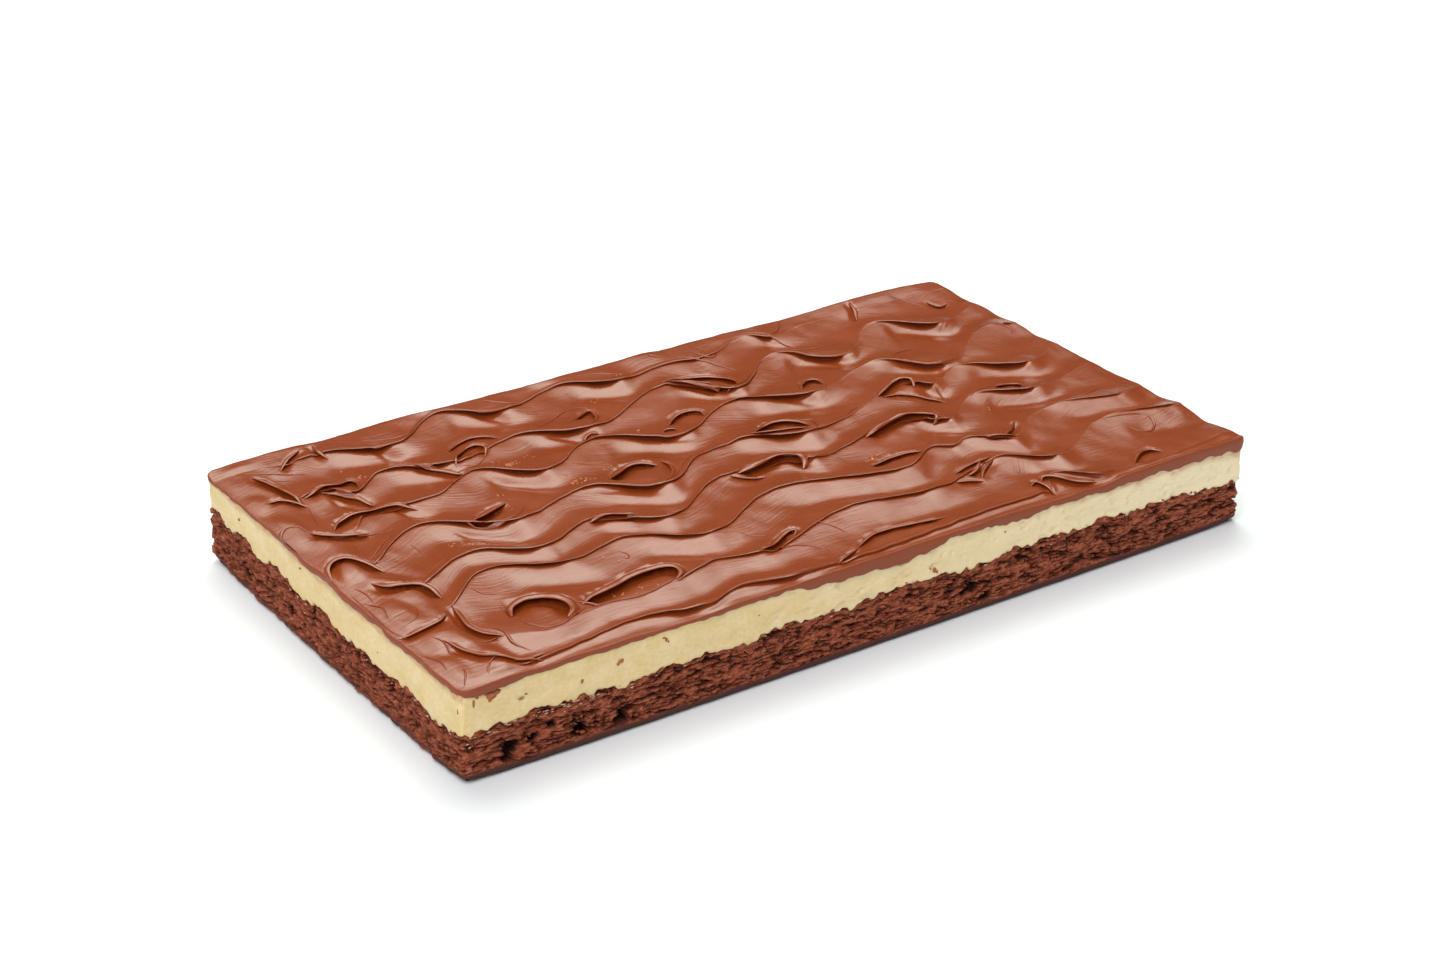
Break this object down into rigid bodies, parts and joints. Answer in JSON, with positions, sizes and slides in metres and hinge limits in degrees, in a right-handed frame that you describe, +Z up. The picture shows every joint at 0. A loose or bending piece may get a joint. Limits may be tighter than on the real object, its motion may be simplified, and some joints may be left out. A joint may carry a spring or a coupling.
{
  "type": "brownie",
  "caption": "Tray-baked brownie slab with open chocolate crumb, a band of pale cream and wavy milk-chocolate icing, served as a dessert",
  "frame": {"origin": "Middle of the flat underside, on the surface the slab rests on.", "axes": "+X along the slab's long side, +Y from the front cut side to the back, +Z up through the layers."},
  "size_m": [0.363, 0.203, 0.0408],
  "materials": {
    "cake_crumb": "baked chocolate cake, open crumb with crags and small holes, matt",
    "cream_filling": "pale yellow cream, knife-cut, soft satin",
    "milk_chocolate": "milk-chocolate icing spread in wavy knife strokes, satin gloss"
  },
  "bodies": {
    "root": {"cake_base": "cake_crumb", "cream_layer": "cream_filling", "chocolate_icing": "milk_chocolate"}
  },
  "joints": []
}
